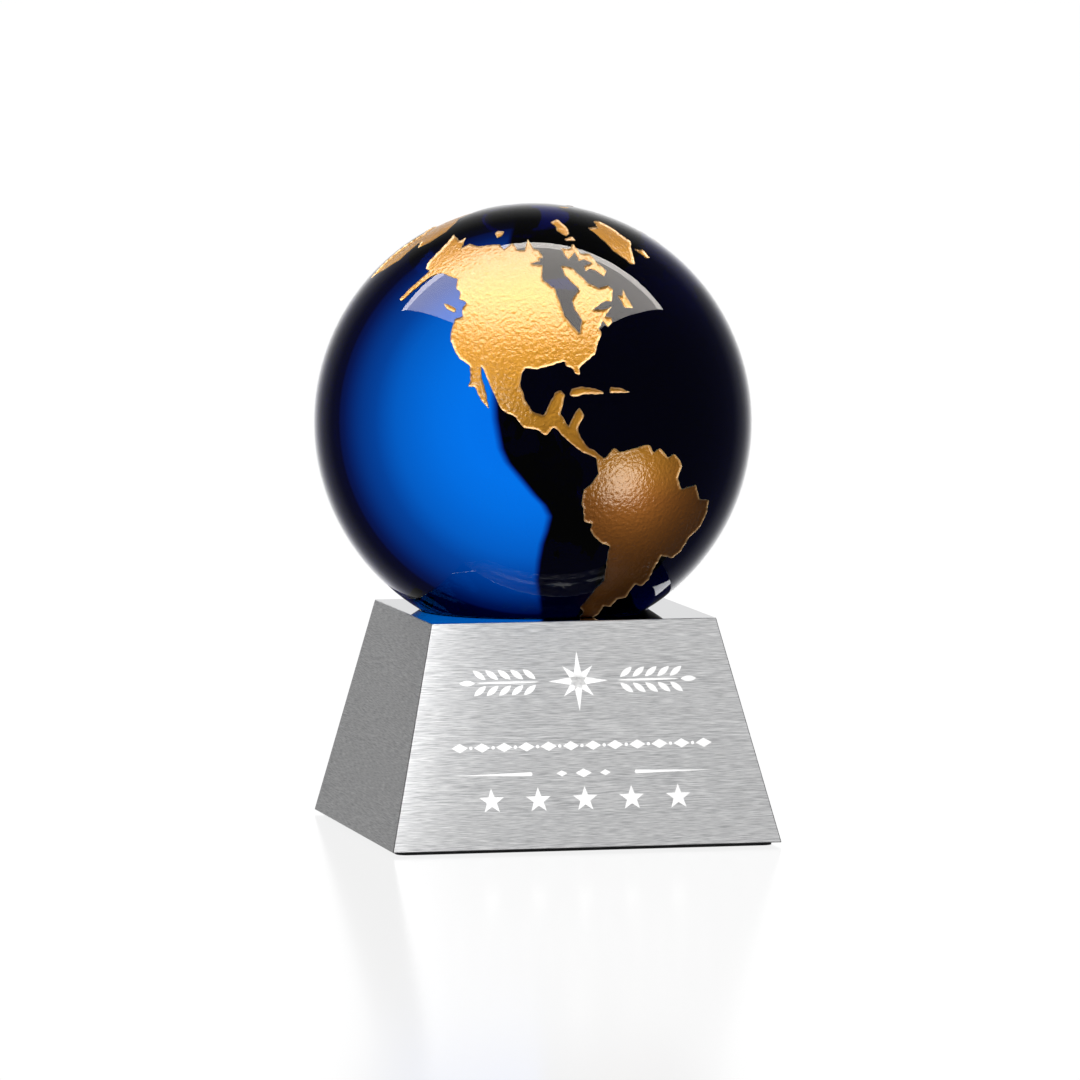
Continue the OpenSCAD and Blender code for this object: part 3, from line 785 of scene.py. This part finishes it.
def marksTree():
    # tree: one unit shape, waisted, pointed or led to one end, instanced on the points given
    tree, given, add = newGeometryTree("enamelMarks", [
        ("Sides", "NodeSocketInt", 4), ("Waist", "NodeSocketFloat", 1.0),
        ("Pointed", "NodeSocketFloat", 0.0), ("Lead", "NodeSocketFloat", 0.0),
        ("Lean", "NodeSocketFloat", 0.0), ("Face Top", "NodeSocketVector", (0, 0, 0)),
        ("Thickness", "NodeSocketFloat", 0.0), ("Sunk", "NodeSocketFloat", 0.0),
        ("Finish", "NodeSocketMaterial", enamel)])
    shape = add("GeometryNodeMeshCylinder", {
        "Vertices": given.outputs["Sides"], "Radius": 1.0, "Depth": 1.0})
    split = add("SeparateXYZ", [add("GeometryNodeInputPosition")])
    # every other corner is drawn in to the waist
    odd = add("Math", (add("GeometryNodeInputIndex"), 2.0), operation="MODULO")
    waist = add("MapRange", {"Value": odd, "To Min": 1.0, "To Max": given.outputs["Waist"]})
    x, y = (add("Math", (split.outputs[k], waist), operation="MULTIPLY") for k in ("X", "Y"))
    away, aside = (add("Math", [k], operation="ABSOLUTE") for k in (y, x))
    # the outline closes to a point at both ends, or its middle leads to one end
    pinch = add("MapRange", {"Value": given.outputs["Pointed"], "To Min": 1.0, "To Max": away})
    fade = add("Math", (1.0, aside), operation="SUBTRACT")
    led = add("Math", (given.outputs["Lead"], fade, x), operation="MULTIPLY_ADD")
    pointed = add("Math", (y, pinch), operation="MULTIPLY")
    raised = add("Math", (split.outputs["Z"], 0.5), operation="ADD")
    moved = add("CombineXYZ", (led, pointed, raised))
    unit = add("GeometryNodeSetPosition", {"Geometry": shape, "Position": moved})
    points = add("GeometryNodeMeshToPoints", [given.outputs["Geometry"]])
    size = add("GeometryNodeInputNamedAttribute", ["size"], data_type="FLOAT_VECTOR")
    turn = add("GeometryNodeInputNamedAttribute", ["turn"], data_type="FLOAT")
    flat = add("SeparateXYZ", [size])
    scaled = add("CombineXYZ", (flat.outputs["X"], flat.outputs["Y"], given.outputs["Thickness"]))
    spin = add("FunctionNodeAxisAngleToRotation", {"Axis": (0, 0, 1), "Angle": turn})
    placed = add("GeometryNodeInstanceOnPoints", {
        "Points": points, "Instance": unit, "Rotation": spin, "Scale": scaled})
    real = add("GeometryNodeRealizeInstances", [placed])
    # down into the metal, then on to the slanted face
    depth = add("Math", (given.outputs["Sunk"], -1.0), operation="MULTIPLY")
    down = add("CombineXYZ", {"Z": depth})
    sunk = add("GeometryNodeTransform", {"Geometry": real, "Translation": down})
    tilt = add("CombineXYZ", [given.outputs["Lean"]])
    leaned = add("GeometryNodeTransform", {
        "Geometry": sunk, "Rotation": tilt, "Translation": given.outputs["Face Top"]})
    coated = add("GeometryNodeSetMaterial",
                     {"Geometry": leaned, "Material": given.outputs["Finish"]})
    add("NodeGroupOutput", [coated])
    return tree


marks = marksTree()


def setOut(name, places, sides, waist=1.0, pointed=0.0, lead=0.0):
    # places are (x, y, half length, half height, turn in degrees) in mm on the front face
    seed = bpy.data.meshes.new(name + "Points")
    seed.from_pydata([(p[0] * mm, p[1] * mm, 0) for p in places], [], [])
    seed.attributes.new("size", "FLOAT_VECTOR", "POINT")
    seed.attributes.new("turn", "FLOAT", "POINT")
    for i, p in enumerate(places):
        seed.attributes["size"].data[i].vector = (p[2] * mm, p[3] * mm, 1)
        seed.attributes["turn"].data[i].value = math.radians(p[4])
    thickness = enamelMarks["proud"] + enamelMarks["sunk"]
    return bakeTree(name, marks, {
        "Sides": sides, "Waist": waist, "Pointed": pointed, "Lead": lead,
        "Lean": math.pi / 2 - faceSlope, "Face Top": (0.0, -halfTop[1], blockTop),
        "Thickness": thickness, "Sunk": enamelMarks["sunk"]}, seed)


def dropOf(node):
    # how far down the slanted face the middle of a mark lies, mm
    low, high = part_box(node)
    return -(blockTop - (low.z + high.z) / 2) / math.cos(faceSlope) / mm


def joined(name, *meshes):
    work = bmesh.new()
    for mesh in meshes:
        work.from_mesh(mesh)
    for face in work.faces:
        face.material_index = 0
    return meshOf(name, work, enamel)


def buildMarks():
    rose, laurel = enamelMarks["rose"], enamelMarks["laurel"]
    band, rules, stars = enamelMarks["band"], enamelMarks["rules"], enamelMarks["stars"]
    y = dropOf("rose_fill")
    newPiece("rose_enamel", joined(
        "roseEnamel",
        setOut("longPoints", [(0, y, rose["long"], rose["long"], 90)], 8,
               waist=rose["waist"] / rose["long"]),
        setOut("shortPoints", [(0, y, rose["short"], rose["short"], 45)], 8,
               waist=rose["waist"] / rose["short"])), "white_enamel", "rose_fill")
    leaves, stems = [], []
    leafHalf, leafThick = laurel["leaf"] / 2, laurel["leaf"] * laurel["thick"] / 2
    spray = laurel["pairs"] * laurel["pitch"]
    for way in (1, -1):
        for i in range(laurel["pairs"]):
            for up in (1, -1):
                angle = math.radians(up * laurel["spread"])
                x = (laurel["start"] + i * laurel["pitch"] + laurel["firstLeaf"]
                     + math.cos(angle) * leafHalf)
                rise = up * laurel["offset"] + math.sin(angle) * leafHalf
                leaves.append((way * x, y + rise, leafHalf, leafThick, way * math.degrees(angle)))
        tip = laurel["start"] + spray + laurel["lastLeaf"]
        leaves.append((way * (tip + leafHalf), y, leafHalf, leafThick, 0))
        stems.append((way * (laurel["start"] + spray / 2), y, spray / 2, laurel["stem"] / 2, 0))
    newPiece("laurel_enamel", joined(
        "laurelEnamel", setOut("leaves", leaves, 24, pointed=1.0),
        setOut("stems", stems, 12)), "white_enamel", "laurel_fill")
    y = dropOf("band_fill")
    pitch = band["length"] / (band["count"] - 1)
    row = [(i - (band["count"] - 1) / 2) * pitch for i in range(band["count"])]
    wide, tall = band["lozenge"]
    newPiece("band_enamel", joined(
        "bandEnamel",
        setOut("lozenges", [(x, y, wide / 2, tall / 2, 0) for x in row], 4),
        setOut("beads", [(x + pitch / 2, y, band["bead"], band["bead"], 0) for x in row[:-1]], 20)),
        "white_enamel", "band_fill")
    y = dropOf("rule_fill")
    middle = rules["gap"] + rules["length"] / 2
    newPiece("rule_enamel", joined(
        "ruleEnamel",
        setOut("rules", [(middle, y, rules["length"] / 2, rules["thick"] / 2, 0),
                         (-middle, y, rules["length"] / 2, rules["thick"] / 2, 180)],
               4, lead=rules["lead"]),
        setOut("middleLozenges", [(x, y, w / 2, h / 2, 0) for x, w, h in rules["middle"]], 4)),
        "white_enamel", "rule_fill")
    # a star's middle lies a little below the middle of its box
    y = dropOf("star_fill") - stars["radius"] * (1 - math.cos(math.radians(36))) / 2
    newPiece("star_enamel", joined("starEnamel", setOut(
        "stars", [((i - (stars["count"] - 1) / 2) * stars["pitch"], y, stars["radius"],
                   stars["radius"], 90) for i in range(stars["count"])], 10,
        waist=stars["waist"] / stars["radius"])), "white_enamel", "star_fill")


buildMarks()
print("marks made")


# Foam pad under the block and the film of adhesive under the ball

footPad = {"corner": 2.0 * mm, "cornerSteps": 10, "edge": 0.06 * mm, "edgeSteps": 2}
bond = {"gap": 0.004 * mm, "steps": 200, "meniscus": 0.05 * mm}


def buildPad():
    low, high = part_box("foot_pad")
    r, steps = footPad["corner"], footPad["cornerSteps"]
    outline = []
    for cx, cy, start in ((high.x - r, high.y - r, 0), (low.x + r, high.y - r, 90),
                          (low.x + r, low.y + r, 180), (high.x - r, low.y + r, 270)):
        for k in range(steps + 1):
            a = math.radians(start + 90 * k / steps)
            outline.append((cx + r * math.cos(a), cy + r * math.sin(a)))
    work = bmesh.new()
    rings = [[work.verts.new((x, y, z)) for x, y in outline] for z in (low.z, high.z)]
    count = len(outline)
    for k in range(count):
        n = (k + 1) % count
        work.faces.new((rings[0][k], rings[0][n], rings[1][n], rings[1][k]))
    caps = [work.faces.new(rings[0][::-1]), work.faces.new(rings[1])]
    edges = list({e for cap in caps for e in cap.edges})
    bmesh.ops.bevel(work, geom=edges, offset=footPad["edge"],
                    segments=footPad["edgeSteps"], affect="EDGES")
    return meshOf("footFoam", work, foam)


def buildBond():
    # a disc whose edge draws in slightly, as cured adhesive does
    low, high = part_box("bond_film")
    top = high.z - bond["gap"]
    profile = [(flatRadius, low.z), (flatRadius - bond["meniscus"], (low.z + top) / 2),
               (flatRadius, top)]
    work = bmesh.new()
    turns = [2 * math.pi * k / bond["steps"] for k in range(bond["steps"])]
    rings = [[work.verts.new((ballCentre.x + r * math.cos(a), ballCentre.y + r * math.sin(a), z))
              for a in turns] for r, z in profile]
    for lower, upper in zip(rings, rings[1:]):
        for k in range(bond["steps"]):
            n = (k + 1) % bond["steps"]
            work.faces.new((lower[k], lower[n], upper[n], upper[k]))
    work.faces.new(rings[0][::-1])
    work.faces.new(rings[-1])
    return meshOf("bondFilm", work, adhesive)


newPiece("foot_foam", buildPad(), "eva_foam", "foot_pad")
newPiece("bond_layer", buildBond(), "clear_adhesive", "bond_film")
print("pad and film made")


# Camera

view = {
    "azimuth": -12.26, "elevation": 4.73, "roll": -0.19,   # degrees
    "distance": 1.8009, "lens": 328.0, "sensor": 36.0,     # metres, then millimetres
    "aside": -0.63 * mm, "aimHeight": 53.17 * mm,
}


def towards(azimuth, elevation):
    # unit direction: degrees round from the front, and degrees up
    a, e = math.radians(azimuth), math.radians(elevation)
    return Vector((math.sin(a) * math.cos(e), -math.cos(a) * math.cos(e), math.sin(e)))


def placeCamera():
    a, roll = math.radians(view["azimuth"]), math.radians(view["roll"])
    back = towards(view["azimuth"], view["elevation"])
    right = Vector((math.cos(a), math.sin(a), 0))
    up = back.cross(right)
    aim = right * view["aside"] + Vector((0, 0, view["aimHeight"]))
    across = right * math.cos(roll) + up * math.sin(roll)
    camera = bpy.data.objects.new("camera", bpy.data.cameras.new("camera"))
    camera.data.lens = view["lens"]
    camera.data.sensor_width = view["sensor"]
    camera.matrix_world = Matrix.Translation(aim + back * view["distance"]) @ Matrix(
        (across, back.cross(across), back)).transposed().to_4x4()
    scene.collection.objects.link(camera)
    scene.camera = camera
    return back, right


lookBack, lookRight = placeCamera()


# Studio: half-round soft light overhead, white floor and surroundings

studio = {
    "lightHeight": 0.60,      # above the ball's centre, metres
    # corners right of the ball and in front of it, in heights; the strip at the back is brighter
    "lightOutline": [(-0.60, 0.76), (0.60, 0.76), (1.14, -0.28), (-1.14, -0.28),
                     (1.20, -0.37), (-1.20, -0.37)],
    "lightEdge": 2.2,
    "lightPower": 4.0,
    "lightColor": (1.0, 0.95, 0.90, 1.0),
    "floorGlow": 0.87,
    "floorShine": 0.17,
    "floorRoughness": 0.14,
    "floorReach": 6.0,
    "frontScreen": 0.15,
    "mirroredLamp": 0.7,      # seen through the ball's underside in the polished top
    # name, (azimuth, elevation, distance from the block), width, height, watts
    "blockLights": [("frontSheen", (4, 34, 1.2), 1.1, 0.9, 3.8),
                    ("edgeGlow", (-22, 26, 0.082), 0.012, 0.07, 0.0082),
                    ("backSheen", (178, 42, 1.2), 1.5, 0.5, 9.0)],
    # the same for the gold, placed in millimetres right, up and towards the camera from the
    # ball's centre
    "goldLights": [("goldGlow", (27.8, -18.6, 42.8), 0.012, 0.012, 0.0018),
                   ("goldFill", (-650, 60, 950), 0.5, 0.5, 4.4)],
}


def glowing(name, power):
    # Softbox cloth lit from inside: an even, slightly warm white
    material, add = newMaterial(name)
    glow = add("Emission", {"Color": studio["lightColor"], "Strength": power})
    add("OutputMaterial", [glow])
    return material


def buildOverhead():
    h = studio["lightHeight"]
    ahead = -Vector((lookBack.x, lookBack.y, 0)).normalized()
    ring = [ballCentre + Vector((0, 0, h)) + lookRight * x * h - ahead * y * h
            for x, y in studio["lightOutline"]]
    mesh = bpy.data.meshes.new("overheadLight")
    mesh.from_pydata(ring, [], [(0, 1, 2, 3), (3, 2, 4, 5)])
    for power in (studio["lightPower"], studio["lightPower"] * studio["lightEdge"]):
        mesh.materials.append(glowing("softboxCloth", power))
    mesh.polygons[1].material_index = 1
    light = bpy.data.objects.new("overheadLight", mesh)
    scene.collection.objects.link(light)
    light.visible_camera = False
    light.visible_transmission = False
    light.light_linking.receiver_collection = piecesNamed("ballPieces", "_ball", "_gilding")


def piecesNamed(name, *endings):
    # a collection of the pieces whose names end so, for a light that only they take
    group = bpy.data.collections.new(name)
    for piece in scene.objects:
        if piece.name.endswith(endings):
            group.objects.link(piece)
    return group


def buildBlockLights():
    # broad soft lights that only the block, its marks and its pad take
    group = piecesNamed("blockPieces", "_form", "_foam", "_enamel")
    middle = Vector((0, 0, (blockLow + blockTop) / 2))
    for name, place, width, height, power in studio["blockLights"]:
        azimuth, elevation, distance = place
        softLight(name, middle, towards(azimuth, elevation) * distance, (width, height), power,
                  group)


def buildGoldLights():
    # small soft lights that only the gold takes, so the glass beside it stays clear
    group = piecesNamed("goldPieces", "_gilding")
    up = lookBack.cross(lookRight)
    for name, place, width, height, power in studio["goldLights"]:
        offset = (lookRight * place[0] + up * place[1] + lookBack * place[2]) * mm
        softLight(name, ballCentre, offset, (width, height), power, group).color = (1, 0.94, 0.78)


def softLight(name, target, offset, size, power, group):
    light = bpy.data.objects.new(name, bpy.data.lights.new(name, "AREA"))
    light.data.shape = "RECTANGLE"
    light.data.size, light.data.size_y = size
    light.data.energy = power
    light.matrix_world = Matrix.Translation(target + offset) @ (
        offset.to_track_quat("Z", "Y").to_matrix().to_4x4())
    light.light_linking.receiver_collection = group
    scene.collection.objects.link(light)
    return light.data


def buildFloor():
    # White acrylic sheet lit from below: an even glow with a soft reflection in it
    reach = studio["floorReach"]
    mesh = bpy.data.meshes.new("floor")
    mesh.from_pydata([(-reach, -reach, 0), (reach, -reach, 0), (reach, reach, 0),
                      (-reach, reach, 0)], [], [(0, 1, 2, 3)])
    material, add = newMaterial("whiteAcrylicSheet")
    glow = add("Emission", {"Color": (1, 1, 1, 1), "Strength": studio["floorGlow"]})
    shine = add("BsdfGlossy", {
        "Color": [studio["floorShine"]] * 3 + [1], "Roughness": studio["floorRoughness"]})
    both = add("AddShader", (glow, shine))
    add("OutputMaterial", [both])
    mesh.materials.append(material)
    floor = bpy.data.objects.new("floor", mesh)
    scene.collection.objects.link(floor)
    floor.visible_glossy = False
    floor.visible_transmission = False


surroundings = {
    # brightness at so many degrees from straight behind, in polished surfaces and in the glass
    "span": 60,
    "mirror": [(0, 1.0), (14.6, 0.89), (23.6, 0.47), (30, 0.24), (36, 0.14), (44, 0.06),
               (48, 0.035), (60, 0.03)],
    "screen": [(0, 1.08), (12, 1.08), (17.6, 0.98), (27.3, 0.72), (34, 0.43), (40, 0.30),
               (45, 0.17), (48, 0.10), (50.4, 0.07), (51.4, 0.014), (56, 0.004), (60, 0.0)],
    # left edge of the screen: degrees up, and degrees right of straight ahead
    "edge": [(-45, 6.2), (-3, 5.9), (0.2, 5.7), (5.3, 4.8), (7.7, 3.7), (10.2, 1.7), (13.5, -0.8),
             (15.6, -2.7), (17.9, -3.8), (21.2, -3.2), (24.1, -2.4), (28.8, -1.8), (35, -1.5),
             (48, -3.3)],
    "edgeSoftness": 1.5,
    # brightness round to the front, in degrees from that edge, and the degrees up it fades over
    "front": [(0, 0.0), (102, 0.0), (125, 0.6), (150, 1.0), (190, 0.7), (240, 0.0), (360, 0.0)],
    "frontRise": (55.0, 20.0),
    "lampRise": (25.0, 40.0),
    "bounced": -0.95,         # what light loses once it has met the polished top under the ball
    "mirroredGlass": -0.90,   # and what reflections lose behind glass or another mirror
    "greenLoss": 0.45,
}


def buildSurroundings():
    # white to the eye and to matt surfaces; polished ones see a white screen straight behind,
    # and light through the glass comes from screens behind to the right and in front
    world = bpy.data.worlds.new("studio")
    world.use_nodes = True
    world.cycles.sampling_method = "NONE"
    scene.world = world
    world.node_tree.nodes.clear()
    add = partial(addNode, world.node_tree)
    span = surroundings["span"]
    coords = add("TexCoord").outputs["Generated"]
    ahead, aside, above = (
        add("VectorMath", (coords, axis), operation="DOT_PRODUCT")
        .outputs["Value"] for axis in (-lookBack, lookRight, lookBack.cross(lookRight)))
    angle = add("Math", [ahead], operation="ARCCOSINE")
    away = add("Math", (angle, math.radians(span)), operation="DIVIDE")
    mirror, screen = (
        add("ValToRGB", [away], [(a / span, b) for a, b in surroundings[name]])
        for name in ("mirror", "screen"))
    angle = add("Math", (aside, ahead), operation="ARCTAN2")
    side = add("Math", [angle], operation="DEGREES")
    angle = add("Math", [above], operation="ARCSINE")
    rise = add("Math", [angle], operation="DEGREES")
    # the edge's ramp covers 60 degrees up and down, and holds 10 degrees left and right
    level = add("Math", (rise, 1 / 120, 0.5), operation="MULTIPLY_ADD")
    outline = add("ValToRGB", [level], [
        (a / 120 + 0.5, (b + 10) / 20) for a, b in surroundings["edge"]])
    left = add("Math", (outline, -20.0, 10.0), operation="MULTIPLY_ADD")
    turned = add("Math", (left, side), operation="ADD")
    edge = add("MapRange", {"Value": turned, "From Max": surroundings["edgeSoftness"]})
    behind = add("Math", (screen, edge), operation="MULTIPLY")
    circle = add("Math", (turned, 360.0), operation="FLOORED_MODULO")
    circle = add("Math", (circle, 360.0), operation="DIVIDE")
    front = add("ValToRGB", [circle], [(a / 360, b) for a, b in surroundings["front"]])
    low, high = surroundings["frontRise"]
    upright = add("Math", [rise], operation="ABSOLUTE")
    tall = add("MapRange", {"Value": upright, "From Min": low, "From Max": high})
    before = add("Math", (front, tall), operation="MULTIPLY")
    before = add("Math", (before, studio["frontScreen"]), operation="MULTIPLY")
    # how the ray came: through glass, and how often, or off a mirror, and how often
    path = add("LightPath")
    mirrored, twice = (
        add("Math", (path.outputs["Glossy Depth"], count),
                operation="GREATER_THAN") for count in (0.5, 1.5))
    beyond, again = (
        add("Math", (path.outputs["Transmission Depth"], count),
                operation="GREATER_THAN") for count in (0.5, 2.5))
    low, high = surroundings["lampRise"]
    lamp = add("MapRange", {
        "Value": rise, "From Min": low, "From Max": high, "To Max": studio["mirroredLamp"]})
    for share in (edge, mirrored):
        lamp = add("Math", (lamp, share), operation="MULTIPLY")
    through = add("Math", (behind, before), operation="ADD")
    through = add("Math", (through, lamp), operation="ADD")
    # little comes back up through the ball once it has met the polished top
    again = add("Math", (mirrored, again), operation="MULTIPLY")
    either = add("Math", (beyond, twice), operation="MAXIMUM")
    kept = [add("Math", (case, surroundings[loss], 1.0),
                    operation="MULTIPLY_ADD")
            for case, loss in ((again, "bounced"), (either, "mirroredGlass"))]
    through, mirror = (add("Math", pair, operation="MULTIPLY")
                       for pair in zip((through, mirror), kept))
    shown = add("Mix", {
        "Factor": path.outputs["Is Glossy Ray"], 2: 1.0, 3: mirror}, data_type="FLOAT")
    final = add("Mix", {
        "Factor": path.outputs["Is Transmission Ray"], 2: shown, 3: through}, data_type="FLOAT")
    # dim light through the glass loses green first
    cool = add("Math", (
        path.outputs["Is Transmission Ray"], surroundings["greenLoss"]), operation="MULTIPLY")
    green = add("Math", (final, cool), operation="POWER")
    tint = add("CombineColor", (1.0, green, 1.0))
    background = add("Background", {"Color": tint, "Strength": final})
    add("OutputWorld", [background])


buildOverhead()
buildBlockLights()
buildGoldLights()
buildFloor()
buildSurroundings()
scene.view_settings.view_transform = "Standard"
scene.cycles.max_bounces = 20
scene.cycles.transmission_bounces = 16
scene.cycles.glossy_bounces = 12
scene.cycles.transparent_max_bounces = 4
print("studio made")
